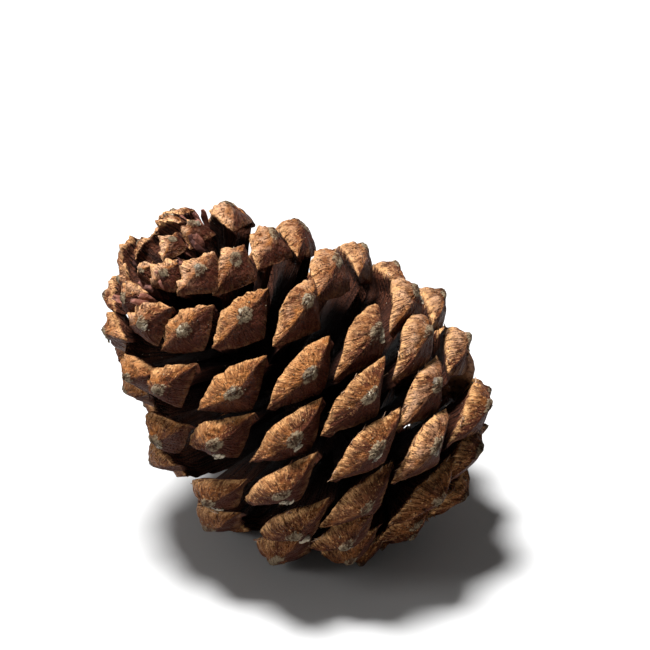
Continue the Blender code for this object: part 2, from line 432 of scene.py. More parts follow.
# The scales.
# 108 woody scales, set on the axis in spirals. Each is a thin blade that ends in a thick keeled shield with
# a crusted umbo. Those at the tip are short and knobby, and those round the stalk stay closed on one
# another. One finely divided blank is set at each place and fitted to its sizes.

DIVERGENCE = math.radians(-138.6)
SPIRAL_EASING = math.radians(41.7)
LOPSIDED = 0.11
LOPSIDED_TOWARDS = math.radians(-108.0)
YAW_SPREAD = math.radians(4.5)
LIFT_SPREAD = math.radians(4.0)
REACH_SPREAD = 0.035
YAW_SEED = 1530.15
LIFT_SEED = 58.99
REACH_SEED = 728.13

# Sizes in millimetres, and the swirl in degrees, at these ranks counted from the tip
RANKS = (0, 5, 13, 25, 40, 55, 70, 81, 93, 107)
LAST_RANK = RANKS[-1]
UMBO_RADIUS = (2.0, 6.0, 12.8, 20.4, 27.2, 31.8, 31.2, 27.6, 18.5, 7.5)
UMBO_DEPTH = (8.0, 0.5, 2.8, 12.6, 27.0, 41.2, 54.0, 63.2, 71.5, 75.0)
ROOT_DEPTH = (14.0, 13.0, 18.0, 28.0, 39.0, 49.0, 58.0, 63.0, 67.5, 71.0)
WIDTH = (3.0, 6.5, 10.2, 15.2, 18.2, 19.4, 18.6, 17.5, 14.0, 8.0)
ABOVE_UMBO = (1.0, 2.2, 3.4, 4.0, 4.2, 4.2, 4.2, 4.0, 3.0, 1.8)
BELOW_UMBO = (1.2, 2.6, 4.2, 4.7, 4.5, 4.0, 3.8, 3.6, 2.6, 1.4)
FACE_SWEEP = (0.6, 1.2, 1.8, 2.4, 2.8, 3.0, 3.6, 4.4, 4.6, 3.0)
BLADE = (0.7, 0.9, 1.0, 1.1, 1.2, 1.2, 1.3, 1.4, 1.3, 1.0)
SWIRL = (15.0, 15.0, 14.0, 7.0, -2.0, -3.0, 3.0, -6.0, -6.0, -6.0)
RAGGED = (0.30, 0.30, 0.28, 0.22, 0.20, 0.22, 0.34, 0.50, 0.60, 0.50)
KNOBBY = (2.20, 2.20, 2.00, 1.20, 0.60, 0.35, 0.35, 0.45, 0.45, 0.40)

# The shield, in shares of half its width, and how round its outline is: 1 is a triangle, more is an arch.
# Its edge is rounded off from this share outwards
CORNER_BACK = 0.35
CORNER_UP = 0.17
RIM_BACK = 0.12
UMBO_ASIDE = -0.12
EDGE_ROUND = 0.13
EDGE_START = 0.6
UPPER_ARCH = 1.7
LOWER_ARCH = 1.25

# The blank: how many points round it above and below, its blade from root to shoulder, and its shield
# from rim to umbo
UPPER_SPOKES = 62
LOWER_SPOKES = 46
SPOKES = UPPER_SPOKES + LOWER_SPOKES
BLADE_STEPS = (5, 2, 5)
SHIELD_SHARES = (
    1.0, 0.99, 0.97, 0.94, 0.90, 0.86, 0.81, 0.76, 0.70, 0.64,
    0.58, 0.52, 0.46, 0.40, 0.35, 0.30, 0.25, 0.20, 0.14, 0.07,
)
UMBO_ACROSS = 0.20
UMBO_HIGH = 0.12

# A usual scale, for the pitch of the ribs: half its width, and its height in shares of that
USUAL_HALF = 9.3 * MM
USUAL_ABOVE = 0.46
USUAL_BELOW = 0.46
RIB_PITCH = 0.55 * MM

# Knobs on the scales at the tip, a metre, and the lowest place that a point may have
KNOB_WAVES = 520.0
ON_THE_FLOOR = (-1.0, -1.0, 0.0)


def on_curve(rank, values):
    """The value at this rank, on a smooth curve through the values given at RANKS."""
    last = len(RANKS) - 1
    place = max(i for i in range(last) if RANKS[i] <= rank)
    span = RANKS[place + 1] - RANKS[place]
    share = (rank - RANKS[place]) / span
    before, after = max(place - 1, 0), min(place + 2, last)
    slope_in = (values[place + 1] - values[before]) / (RANKS[place + 1] - RANKS[before]) * span
    slope_out = (values[after] - values[place]) / (RANKS[after] - RANKS[place]) * span
    rise = values[place + 1] - values[place]
    bend_in = slope_in - rise
    bend_out = rise - slope_out
    bulge = share * (1 - share) * (bend_in * (1 - share) + bend_out * share)
    return values[place] + rise * share + bulge


def size_at(rank, sizes):
    """The size in metres at this rank, from sizes in millimetres."""
    return on_curve(rank, sizes) * MM


def whim(rank, trait):
    """A fixed number from -1 to 1 for this scale and trait, as irregular as growth."""
    wave = math.sin(rank * 12.9898 + trait * 78.233) * 43758.5453
    return 2 * (wave - math.floor(wave)) - 1


def scale_frame(rank):
    """The frame of a laid scale: X to its right, Y outwards along its blade, Z tipwards. Also its reach."""
    angle = DIVERGENCE * rank + SPIRAL_EASING * (rank / 60) ** 2 + math.radians(on_curve(rank, SWIRL))
    outwards = Vector((math.cos(angle), math.sin(angle), 0))
    radius, depth = size_at(rank, UMBO_RADIUS), size_at(rank, UMBO_DEPTH)
    depth += LOPSIDED * radius * math.cos(angle - LOPSIDED_TOWARDS)
    root = Vector((0, 0, CONE_LENGTH - size_at(rank, ROOT_DEPTH)))
    umbo = Vector((0, 0, CONE_LENGTH - depth)) + outwards * radius
    along = umbo - root
    reach = along.length * (1 + REACH_SPREAD * whim(rank, REACH_SEED))
    along.normalize()
    right = along.cross(Vector((0, 0, 1))).normalized()
    turned = Matrix.Rotation(YAW_SPREAD * whim(rank, YAW_SEED), 3, right.cross(along))
    lifted = Matrix.Rotation(LIFT_SPREAD * whim(rank, LIFT_SEED), 3, right)
    along = lifted @ turned @ along
    right = turned @ right
    up = right.cross(along)
    upright = Matrix((right, along, up)).transposed().to_4x4()
    upright.translation = root
    return LAID @ upright, reach


def swell_at(across, side):
    """How far the rim stands out here, as a share of its middle: 1 in the middle and 0 at a corner."""
    return 1 - abs(across) ** (UPPER_ARCH if side > 0 else LOWER_ARCH)


def shield_point(across, side, share):
    """A point of the shield in shares of the scale's sizes. share is 1 at the rim and 0 at the umbo."""
    reached = abs(across) * share
    swell = swell_at(across, side)
    height = share * swell / swell_at(reached, side) if swell > 0.0001 else 0.0
    fall = height ** (1.9 if side > 0 else 1.2)
    keel = RIM_BACK * (1 - (1 - reached) ** 2) + CORNER_BACK * reached ** 2
    rim = RIM_BACK + CORNER_BACK * reached ** 2
    edge = EDGE_ROUND * max(0.0, (share - EDGE_START) / (1 - EDGE_START)) ** 2
    sweep = (1 - reached ** 2) * fall if side < 0 else 0.0
    lift = swell * share
    lifts = (0, lift, 0) if side > 0 else (0, 0, -lift)
    corner = CORNER_UP * share * (1 - across ** 2 * (1 - share)) - CORNER_UP * lift
    spot = across * share + UMBO_ASIDE * (1 - share)
    return spot, (1, -sweep, -(keel + (rim - keel) * fall + edge)), lifts, corner, height


def blade_points(across, side):
    """The blade's cross-sections from root to shoulder, each in shares of the scale's sizes."""
    swell = swell_at(across, side)
    sections = []
    for width, out, above, below in (
        (0.30, (0.04, 0, 0), 0.8, 0.8),
        (0.62, (0.45, 0, 0), 0.9, 1.0),
        (0.90, (1, -1, -0.42), 1.0, 1.3),
    ):
        lift = above * swell if side > 0 else -below * swell
        sections.append((across * width, out, (lift, 0, 0), 0.0))
    return sections


def between(a, b, share):
    """The place at this share of the way from a to b."""
    return tuple(x + (y - x) * share for x, y in zip(a, b))


def outline_stops():
    """Round the outline from its right corner over the top: the share across, and the side."""
    stops = []
    for side, count in ((1, UPPER_SPOKES), (-1, LOWER_SPOKES)):
        for i in range(count):
            turn = i / count
            across = 0.65 * (1 - 2 * turn) + 0.35 * math.cos(math.pi * turn)
            stops.append((across * side, side))
    return stops


def make_blank():
    """The blank of a scale. Its points carry shares of the scale's sizes in place of real positions."""
    stops = outline_stops()
    rings = []
    for section, steps in enumerate(BLADE_STEPS):
        rings += [(section, step / steps) for step in range(steps)]
    shoulder = len(BLADE_STEPS) - 1
    shield = len(BLADE_STEPS)
    rings += [(shield, share) for share in SHIELD_SHARES]

    guides = ("guide_across", "guide_out", "guide_lift", "guide_raise", "guide_height", "guide_edge")
    rows = {name: [] for name in (*guides, "grain", "face", "umbo", "upper", "inner", "crest")}

    def add(*values):
        for name, value in zip(rows, values):
            rows[name].append(value)

    for section, share in rings:
        for across, side in stops:
            spread = across * USUAL_HALF / RIB_PITCH
            if section == shield:
                x, out, lift, corner, height = shield_point(across, side, share)
                high = corner + lift[1] * USUAL_ABOVE + lift[2] * USUAL_BELOW
                edge = (1 - share) * (0.45 + 0.55 * across ** 2)
                umbo = math.hypot((x - UMBO_ASIDE) / UMBO_ACROSS, high / UMBO_HIGH)
                face = 0.5 if share == 1 else 1.0
                upper = 0.5 + 0.5 * side * min(1.0, height * 3)
                grain = (spread * share ** 0.5, 2.0 * side * min(1.0, height * 2), 1.6 * share)
                crest = height * min(1.0, 4 * swell_at(across, side)) if side > 0 else 0.0
                add(x, out, lift, corner, height, edge, grain, face, min(umbo, 4.0), upper, 0.0, crest)
                continue
            sections = blade_points(across, side)
            x, out, lift, corner, height = shield_point(across, side, 1.0)
            sections.append((x, out, lift, corner))
            near, far = sections[section], sections[section + 1]
            thick = share ** 2 * (3 - 2 * share) if section == shoulder else share
            x = near[0] + (far[0] - near[0]) * share
            out = between(near[1], far[1], share)
            lift = between(near[2], far[2], thick)
            corner = near[3] + (far[3] - near[3]) * thick
            edge = (1 - share) * 0.35 if section == shoulder else 1.0
            back = 1.6 + (shield - section - share) * 1.4
            grain = (spread, 2.0 * side, back)
            inner = (shield - section - share) / shield
            folded = side > 0 and section == shoulder
            crest = (1 - share) * min(1.0, 4 * swell_at(across, side)) if folded else 0.0
            add(x, out, lift, corner, 0.0, edge, grain, 0.0, 4.0, 0.5 + 0.5 * side, inner, crest)
    add(0, (0.04, 0, 0), (0, 0, 0), 0.0, 0.0, 1.0, (0, 0, 7.0), 0.0, 4.0, 0.5, 1.0, 0.0)
    add(UMBO_ASIDE, (1, 0, 0), (0, 0, 0), 0.0, 0.0, 1.0, (0, 0, 0), 1.0, 0.0, 0.5, 0.0, 0.0)
    faces = close_loft(len(rings), SPOKES)
    flat = [
        (x, out[0] + out[1] * 0.3 + out[2], lift[0] + lift[1] + lift[2])
        for x, out, lift in zip(rows["guide_across"], rows["guide_out"], rows["guide_lift"])
    ]
    mesh = write_mesh("scale_blank", flat, faces, rows)
    face_outwards(mesh)
    blank = new_object("scale_blank", mesh)
    blank.hide_render = True
    return blank


def new_web(name, sizes):
    """An empty geometry tree with its own named inputs. Returns it as a web, with the inputs by name."""
    tree = bpy.data.node_groups.new(name, "GeometryNodeTree")
    tree.interface.new_socket("Geometry", in_out="INPUT", socket_type="NodeSocketGeometry")
    for key, kind in sizes.items():
        tree.interface.new_socket(key, in_out="INPUT", socket_type=kind)
    tree.interface.new_socket("Geometry", in_out="OUTPUT", socket_type="NodeSocketGeometry")
    web = Web(tree)
    given = web.node("NodeGroupInput", {}, {})
    return web, given


def named(web, name, kind="FLOAT_VECTOR"):
    """A value that the points carry under this name."""
    return web.node("GeometryNodeInputNamedAttribute", {"data_type": kind}, {"Name": name})


def kept(web, geometry, name, value, kind="FLOAT_VECTOR"):
    """Writes a value on the points under this name."""
    settings = {"data_type": kind, "domain": "POINT"}
    sockets = {"Geometry": geometry, "Name": name, "Value": value}
    return web.node("GeometryNodeStoreNamedAttribute", settings, sockets)


def centred_noise(web, place, scale, detail=2.0):
    """Noise from about -0.5 to 0.5."""
    return web.noise(place, scale, detail) - 0.5


def warped(web, place, size, amount):
    """A place pushed about gently, as growth and drying bend wood."""
    push = web.noise(place, size, 1.0).out("Color")
    push = web.vector("SUBTRACT", push, (0.5, 0.5, 0.5))
    return web.vector("ADD", place, web.scaled(push, amount))


def planted(web, given, name):
    """The input object of this name, set at each guide point as real geometry."""
    bit = web.node("GeometryNodeObjectInfo", {}, {"Object": given.out(name)}, "Geometry")
    sockets = {"Points": given.out("Geometry"), "Instance": bit}
    placed = web.node("GeometryNodeInstanceOnPoints", {}, sockets)
    return web.node("GeometryNodeRealizeInstances", {}, {"Geometry": placed})


def finished(web, given, shaped):
    """Drops the guides, smooths the shape, gives it its material and makes it the tree's result."""
    wild = {"pattern_mode": "WILDCARD"}
    plain = web.node("GeometryNodeRemoveAttribute", wild, {"Geometry": shaped, "Name": "guide_*"})
    smooth = web.node("GeometryNodeSetShadeSmooth", {}, {"Geometry": plain})
    sockets = {"Geometry": smooth, "Material": given.out("Material")}
    dressed = web.node("GeometryNodeSetMaterial", {}, sockets)
    web.node("NodeGroupOutput", {}, {"Geometry": dressed})
    return web.tree


def make_scale_tree(name):
    """Fits the blank to each scale's frame and sizes, then adds ribs, lumps, a torn rim and knobs."""
    web, given = new_web(name, {
        "Blank": "NodeSocketObject",
        "Rib Height": "NodeSocketFloat",
        "Lump Height": "NodeSocketFloat",
        "Umbo Height": "NodeSocketFloat",
        "Knob Scale": "NodeSocketFloat",
        "Warp Scale": "NodeSocketFloat",
        "Warp Amount": "NodeSocketFloat",
        "Material": "NodeSocketMaterial",
    })
    real = planted(web, given, "Blank")

    sizes_out = named(web, "guide_sizes_out")
    sizes_lift = named(web, "guide_sizes_lift")
    habit = web.node("ShaderNodeSeparateXYZ", {}, {0: named(web, "guide_habit")})
    tone, ragged, skew = habit.out("X"), habit.out("Y"), habit.out("Z")
    wear = web.node("ShaderNodeSeparateXYZ", {}, {0: named(web, "guide_wear")})
    knobby, age = wear.out("X"), wear.out("Y")
    facing = web.node("ShaderNodeSeparateXYZ", {}, {0: named(web, "guide_along")}, "Z")
    across = named(web, "guide_across", "FLOAT")
    height = named(web, "guide_height", "FLOAT")
    half = web.node("ShaderNodeSeparateXYZ", {}, {0: sizes_out}, "Z")
    out = web.vector("DOT_PRODUCT", named(web, "guide_out"), sizes_out).out("Value")
    lift = web.vector("DOT_PRODUCT", named(web, "guide_lift"), sizes_lift).out("Value")
    lift = lift + half * named(web, "guide_raise", "FLOAT")
    slender = half / USUAL_HALF
    fitted = web.node("ShaderNodeCombineXYZ", {}, {"X": slender, "Y": 1.0, "Z": slender * 0.5 + 0.5})
    grain = web.vector("MULTIPLY", named(web, "grain"), fitted)
    grain = web.vector("ADD", grain, named(web, "guide_offset"))
    face = named(web, "face", "FLOAT")
    edge = named(web, "guide_edge", "FLOAT")

    ribs = centred_noise(web, grain, 1.0, 2.0)
    lumps = centred_noise(web, web.vector("MULTIPLY", grain, (0.22, 0.6, 0.9)), 1.0, 1.0)
    notches = centred_noise(web, web.vector("MULTIPLY", grain, (0.8, 0.3, 0.3)), 1.0, 3.0)
    crust = centred_noise(web, web.vector("MULTIPLY", grain, (0.6, 1.0, 6.0)), 1.0, 2.0)
    rim = web.step(edge + 0.35 * notches, 0.20, 0.02)
    umbo = web.step(named(web, "umbo", "FLOAT") + 1.1 * crust, 1.35, 0.75)
    plain = face * (1 - umbo)
    out = out + given.out("Umbo Height") * umbo * (0.6 + 1.2 * crust)
    out = out + given.out("Rib Height") * ribs * plain * (0.35 + 0.65 * height)
    out = out + given.out("Lump Height") * lumps * plain
    out = out + ragged * notches * rim * 1.5
    spread = 1 + rim * ragged * (1.3 * notches + 0.5 * ribs) / (0.45 * half)
    side = across * half * spread
    rise = lift * spread * (1 + skew * across)

    spot = web.vector("ADD", named(web, "guide_root"), web.scaled(named(web, "guide_right"), side))
    spot = web.vector("ADD", spot, web.scaled(named(web, "guide_along"), out))
    spot = web.vector("ADD", spot, web.scaled(named(web, "guide_up"), rise))
    spot = warped(web, spot, given.out("Warp Scale"), given.out("Warp Amount"))
    sockets = {"Vector": spot, "Scale": given.out("Knob Scale"), "Smoothness": 0.35}
    cells = web.node("ShaderNodeTexVoronoi", {"feature": "SMOOTH_F1"}, sockets, "Distance")
    crest = named(web, "crest", "FLOAT")
    knob = 0.42 - cells
    puff = web.vector("ADD", named(web, "guide_along"), named(web, "guide_up"))
    puff = web.scaled(puff, knobby * knob * (0.2 * face + 0.8 * crest))
    spot = web.vector("ADD", spot, puff)
    spot = web.vector("MAXIMUM", spot, ON_THE_FLOOR)
    shaped = web.node("GeometryNodeSetPosition", {}, {"Geometry": real, "Position": spot})
    # Paler near the tip, and painted highlight where a scale faces up towards the lamp, most on crests and
    # knob tops
    upward_or_tipward = web.step(facing + 0.25 * tone, 0.35, 0.95) + web.step(age, 0.26, 0.12)
    bleach = upward_or_tipward * (0.2 + 0.8 * crest + 1.2 * knob)
    for key, value in (("tone", tone), ("rim", rim), ("umbo", umbo), ("bleach", bleach), ("age", age)):
        shaped = kept(web, shaped, key, value, "FLOAT")
    shaped = kept(web, shaped, "grain", grain)
    return finished(web, given, shaped)


def grow(name, guide, tree, sizes):
    """Runs a geometry tree on a guide mesh and keeps the result as a plain mesh."""
    piece = new_object(name, guide)
    modifier = piece.modifiers.new("growth", "NODES")
    modifier.node_group = tree
    for socket in tree.interface.items_tree:
        if socket.in_out == "INPUT" and socket.name in sizes:
            modifier[socket.identifier] = sizes[socket.name]
    bpy.context.view_layer.update()
    graph = bpy.context.evaluated_depsgraph_get()
    mesh = bpy.data.meshes.new_from_object(piece.evaluated_get(graph))
    piece.modifiers.clear()
    piece.data = mesh
    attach(piece, "root")
    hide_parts("pine_cone")
    return piece


def scale_guide(name, ranks):
    """One point for each scale, which carries its frame and sizes."""
    keys = ("root", "right", "along", "up", "sizes_out", "sizes_lift", "offset", "habit", "wear")
    rows = {f"guide_{key}": [] for key in keys}
    for rank in ranks:
        place, reach = scale_frame(rank)
        right, along, up, root = (place.col[i].to_3d() for i in range(4))
        sizes_out = (reach, size_at(rank, FACE_SWEEP), size_at(rank, WIDTH) / 2)
        sizes_lift = tuple(size_at(rank, sizes) for sizes in (BLADE, ABOVE_UMBO, BELOW_UMBO))
        offset = (31 * whim(rank, 4), 31 * whim(rank, 5), 31 * whim(rank, 6))
        habit = (whim(rank, 7), size_at(rank, RAGGED), 0.14 * whim(rank, 8))
        wear = (size_at(rank, KNOBBY), rank / LAST_RANK, 0.0)
        values = (root, right, along, up, sizes_out, sizes_lift, offset, habit, wear)
        for key, value in zip(rows, values):
            rows[key].append(tuple(value))
    return write_mesh(name, [(0, 0, 0)] * len(ranks), [], rows)


blank = make_blank()
scale_tree = make_scale_tree("cone_scale")
SCALE_SIZES = {
    "Blank": blank,
    "Rib Height": 0.55 * MM,
    "Lump Height": 1.3 * MM,
    "Umbo Height": 0.8 * MM,
    "Knob Scale": KNOB_WAVES,
    "Warp Scale": 110.0,
    "Warp Amount": 1.8 * MM,
    "Material": CONE_WOOD,
}
for name, first, last in (
    ("hollow_tip_scales", 0, 17),
    ("tip_scales", 18, 35),
    ("upper_scales", 36, 53),
    ("middle_scales", 54, 71),
    ("lower_scales", 72, 89),
    ("stalk_scales", 90, 107),
):
    ranks = range(first, last + 1)
    grow(name, scale_guide(name, ranks), scale_tree, SCALE_SIZES)
bpy.data.objects.remove(blank)


# The torn fibres.
# Where scales rubbed on one another, and where the stalk snapped, the wood has split into thin pale
# splinters. They stand on the rims of the lower scales and round the stub. Each is one tapered sliver.

FIRST_TORN = 51
STUB_FIBRES = 60
STUB_RADIUS = 2.3 * MM
STUB_END = Vector((0, 0, -3.0)) * MM
STUB_FIBRE_WIDTH = 0.22 * MM
SLIVER_STEPS = 5
SLIVER_SIDES = 4
SLIVER_BEND = 0.18
FIBRE_PALE = (0.420, 0.265, 0.165)
FIBRE_BROWN = (0.140, 0.055, 0.026)


def plain_wood(name, colours, pitch, roughness, shine):
    """A mottled finish: two colours mixed by noise, with a grainy bump of its own."""
    wood = bpy.data.materials.new(name)
    wood.use_nodes = True
    web = Web(wood.node_tree)
    shader = wood.node_tree.nodes["Principled BSDF"]
    place = web.node("ShaderNodeTexCoord", {}, {}, "Object")
    tone = web.node("ShaderNodeAttribute", {"attribute_name": "tone"}, {}, "Fac")
    mottle = web.noise(place, 1 / pitch, 3.0, 0.6)
    share = web.step(mottle + 0.22 * tone, 0.36, 0.62)
    web.feed(shader.inputs["Base Color"], web.mix(share, colours[0], colours[1]))
    web.feed(shader.inputs["Roughness"], roughness - 0.2 * share)
    web.feed(shader.inputs["Specular IOR Level"], shine)
    bump = {"Height": mottle, "Distance": 0.5 * pitch, "Strength": 0.8}
    web.feed(shader.inputs["Normal"], web.node("ShaderNodeBump", {}, bump))
    return wood


def bit_mesh(name, rings, spokes, ends):
    """A small closed shape: rings of points, then one point at each end. It keeps its shape by name."""
    points = [point for ring in rings for point in ring] + list(ends)
    mesh = write_mesh(name, points, close_loft(len(rings), spokes), {"guide_shape": points})
    face_outwards(mesh)
    return new_object(name, mesh)


def make_sliver():
    """A tapered splinter of unit length, bent a little, which starts below its foot."""
    rings = []
    for step in range(SLIVER_STEPS):
        share = step / SLIVER_STEPS
        thick = 1.0 - 0.8 * share
        ring = []
        for side in range(SLIVER_SIDES):
            angle = math.tau * side / SLIVER_SIDES
            bend = SLIVER_BEND * share ** 2
            ring.append((thick * math.cos(angle), share * 1.2 - 0.2, 0.5 * thick * math.sin(angle) + bend))
        rings.append(ring)
    return bit_mesh("sliver", rings, SLIVER_SIDES, ((0, -0.25, 0), (0, 1, SLIVER_BEND)))


def make_sprinkle_tree(name):
    """Sets a bit at each guide point, along the sides that the point carries, and roughens it."""
    web, given = new_web(name, {
        "Bit": "NodeSocketObject",
        "Roughen Scale": "NodeSocketFloat",
        "Roughen Amount": "NodeSocketFloat",
        "Warp Scale": "NodeSocketFloat",
        "Warp Amount": "NodeSocketFloat",
        "Material": "NodeSocketMaterial",
    })
    real = planted(web, given, "Bit")
    part = web.node("ShaderNodeSeparateXYZ", {}, {0: named(web, "guide_shape")})
    spot = warped(web, named(web, "guide_root"), given.out("Warp Scale"), given.out("Warp Amount"))
    for side, axis in (("right", "X"), ("along", "Y"), ("up", "Z")):
        spot = web.vector("ADD", spot, web.scaled(named(web, f"guide_{side}"), part.out(axis)))
    spot = warped(web, spot, given.out("Roughen Scale"), given.out("Roughen Amount"))
    spot = web.vector("MAXIMUM", spot, ON_THE_FLOOR)
    shaped = web.node("GeometryNodeSetPosition", {}, {"Geometry": real, "Position": spot})
    shaped = kept(web, shaped, "tone", named(web, "guide_tone", "FLOAT"), "FLOAT")
    return finished(web, given, shaped)


def on_shield(rank, across, side, share, proud=0.0):
    """A place on a scale's shield, proud of it by so much, with the scale's three directions."""
    place, reach = scale_frame(rank)
    right, along, up, root = (place.col[i].to_3d() for i in range(4))
    half = size_at(rank, WIDTH) / 2
    x, out, lift, corner, _ = shield_point(across, side, share)
    outwards = out[0] * reach + out[1] * size_at(rank, FACE_SWEEP) + out[2] * half + proud
    rise = lift[1] * size_at(rank, ABOVE_UMBO) + lift[2] * size_at(rank, BELOW_UMBO) + corner * half
    return root + right * (x * half) + along * outwards + up * rise, right, along, up


def sprinkle_guide(name, bits):
    """One point for each bit: its place, its three sides as long as the bit is that way, and its tone."""
    rows = {}
    for i, key in enumerate(("root", "right", "along", "up")):
        rows[f"guide_{key}"] = [tuple(bit[i]) for bit in bits]
    rows["guide_tone"] = [bit[4] for bit in bits]
    return write_mesh(name, [(0, 0, 0)] * len(bits), [], rows)


def fibre(spot, direction, across, length, width, tone):
    """A splinter at a place, that points one way and is flat across another."""
    along = direction.normalized()
    right = (across - along * across.dot(along)).normalized()
    up = right.cross(along)
    return spot, right * width, along * length, up * (width + 0.4 * length * abs(tone)), tone


def rim_fibres():
    """Splinters on the rims of the lower scales, more of them towards the stalk."""
    bits = []
    for rank in range(FIRST_TORN, LAST_RANK + 1):
        for i in range(rank // 6):
            seed = 100 + 7 * i
            across, side = 0.95 * whim(rank, seed), 1 if whim(rank, seed + 1) > -0.6 else -1
            spot, right, along, up = on_shield(rank, across, side, 0.97)
            way = right * (1.0 if i % 2 else -1.0) + up * 0.35 * side + along * 0.5 * whim(rank, seed + 3)
            length = (0.4 + 0.8 * abs(whim(rank, seed + 4)) + 0.006 * rank) * MM
            width = (0.10 + 0.04 * whim(rank, seed + 5)) * MM
            bits.append(fibre(spot, way, up, length, width, whim(rank, seed + 6)))
    return bits


def stalk_fibres():
    """Splinters round the broken end of the stalk."""
    bits = []
    turn = LAID.to_3x3()
    down = -LAID.col[2].to_3d()
    for i in range(STUB_FIBRES):
        angle, share = math.tau * whim(i, 31) / 2, abs(whim(i, 32)) ** 0.5
        out = Vector((math.cos(angle), math.sin(angle), 0))
        spot = LAID @ (out * share * STUB_RADIUS + STUB_END)
        astray = Vector((whim(i, 33), whim(i, 34), whim(i, 35)))
        way = down + turn @ out * 0.35 + astray * 0.25
        across = turn @ out.cross(Vector((0, 0, 1)))
        length = (0.8 + 0.7 * abs(whim(i, 36))) * MM
        bits.append(fibre(spot, way, across, length, STUB_FIBRE_WIDTH, whim(i, 37)))
    return bits


sliver = make_sliver()
sprinkle_tree = make_sprinkle_tree("sprinkled_bits")
torn_wood = plain_wood("torn_fibre", (FIBRE_BROWN, FIBRE_PALE), 0.8 * MM, 0.85, 0.2)
FIBRE_SIZES = {
    "Bit": sliver,
    "Roughen Scale": 900.0,
    "Roughen Amount": 0.25 * MM,
    "Warp Scale": 110.0,
    "Warp Amount": 1.8 * MM,
    "Material": torn_wood,
}
grow("rim_fibres", sprinkle_guide("rim_fibres", rim_fibres()), sprinkle_tree, FIBRE_SIZES)
STUB_SIZES = FIBRE_SIZES | {"Warp Amount": 0.0}
grow("stalk_fibres", sprinkle_guide("stalk_fibres", stalk_fibres()), sprinkle_tree, STUB_SIZES)
bpy.data.objects.remove(sliver)


# The resin.
# Drops of resin ran over the umbos and the low corners of the shields while the cone opened, and dried
# to grey and whitish crusts. Each crust is a few lumps side by side, and fine crumbs of it lie about.

LUMPS_A_CRUST = 9
FIRST_CRUMBED = 10
CRUMBS_A_SCALE = 9
RESIN_PROUD = 0.15 * MM
RESIN_GREY = (0.070, 0.047, 0.028)
RESIN_WHITE = (0.300, 0.245, 0.165)

# The scales with a thick crust: rank, place on the shield (across, side, share), length and height in mm
CRUSTS = (
    (22, -0.05, 1, 0.05, 1.3, 1.1), (32, 0.0, 1, 0.05, 1.5, 1.0), (35, 0.10, 1, 0.08, 2.2, 0.6),
    (40, -0.05, 1, 0.06, 2.3, 0.8), (45, -0.20, -1, 0.35, 1.2, 1.1), (43, 0.25, -1, 0.60, 1.6, 0.7),
    (51, 0.20, -1, 0.70, 1.7, 0.6), (56, 0.10, -1, 0.65, 1.5, 0.7), (64, -0.10, -1, 0.70, 1.6, 0.7),
    (66, -0.10, 1, 0.20, 1.2, 1.0), (27, -0.10, 1, 0.15, 1.1, 0.7), (53, 0.00, 1, 0.10, 1.4, 0.6),
    (61, 0.10, -1, 0.30, 1.5, 0.5), (48, 0.00, -1, 0.40, 1.6, 0.5), (14, 0.00, 1, 0.10, 1.0, 0.8),
)


def make_lump(name, steps, spokes):
    """A round lump of unit radius."""
    rings = []
    for ring in range(1, steps):
        tilt = math.pi * ring / steps
        turns = [math.tau * i / spokes for i in range(spokes)]
        rings.append([
            (math.sin(tilt) * math.cos(turn), math.cos(tilt), math.sin(tilt) * math.sin(turn))
            for turn in turns
        ])
    return bit_mesh(name, rings, spokes, ((0, 1, 0), (0, -1, 0)))


def resin_bits():
    """The thick crusts, and a thin one on every third scale elsewhere."""
    thick = {crust[0] for crust in CRUSTS}
    crusts = list(CRUSTS)
    for rank in range(8, 104, 3):
        if rank not in thick:
            crusts.append((rank, 0.3 * whim(rank, 41), -1, 0.2 + 0.3 * abs(whim(rank, 42)), 1.2, 0.5))
    bits = []
    for rank, across, side, share, length, height in crusts:
        for i in range(LUMPS_A_CRUST):
            aside, higher = 0.20 * whim(rank, 50 + i), 0.12 * whim(rank, 60 + i)
            size = 0.25 + 0.30 * abs(whim(rank, 70 + i)) if i else 0.65
            place = (across + aside * min(i, 1), side, max(0.0, share + higher * min(i, 1)))
            spot, right, along, up = on_shield(rank, *place, RESIN_PROUD)
            right, along, up = right * length * size, along * 0.45 * size, up * height * size
            bits.append((spot, right * MM, along * MM, up * MM, whim(rank, 80 + i)))
    return bits


def crumbs():
    """Fine crumbs of resin and dust caught on the shields and on the blades behind them."""
    bits = []
    for rank in range(FIRST_CRUMBED, LAST_RANK + 1):
        for i in range(CRUMBS_A_SCALE):
            seed = 200 + 5 * i
            size = (0.05 + 0.07 * abs(whim(rank, seed))) * MM
            place = (0.8 * whim(rank, seed + 1), 1 if i % 3 else -1, 0.3 + 0.65 * abs(whim(rank, seed + 2)))
            spot, right, along, up = on_shield(rank, *place)
            if i % 2:
                spot -= along * (5 + 4 * whim(rank, seed + 3)) * MM
            bits.append((spot, right * size * 1.4, along * size, up * size, whim(rank, seed + 4)))
    return bits


lump = make_lump("lump", 7, 12)
crumb = make_lump("crumb", 4, 6)
dried_resin = plain_wood("dried_resin", (RESIN_GREY, RESIN_WHITE), 0.6 * MM, 0.62, 0.5)
RESIN_SIZES = FIBRE_SIZES | {
    "Bit": lump,
    "Roughen Scale": 1500.0,
    "Roughen Amount": 0.7 * MM,
    "Material": dried_resin,
}
grow("resin_crusts", sprinkle_guide("resin_crusts", resin_bits()), sprinkle_tree, RESIN_SIZES)
CRUMB_SIZES = RESIN_SIZES | {"Bit": crumb, "Roughen Amount": 0.1 * MM}
grow("resin_crumbs", sprinkle_guide("resin_crumbs", crumbs()), sprinkle_tree, CRUMB_SIZES)
bpy.data.objects.remove(lump)
bpy.data.objects.remove(crumb)


# The withered bits in the hollow tip.
# The last scales at the tip never grew. They dried to dark reddish flakes that stand on end in the hollow
# among the stunted scales. Each is a small curled leaf of the same wood.

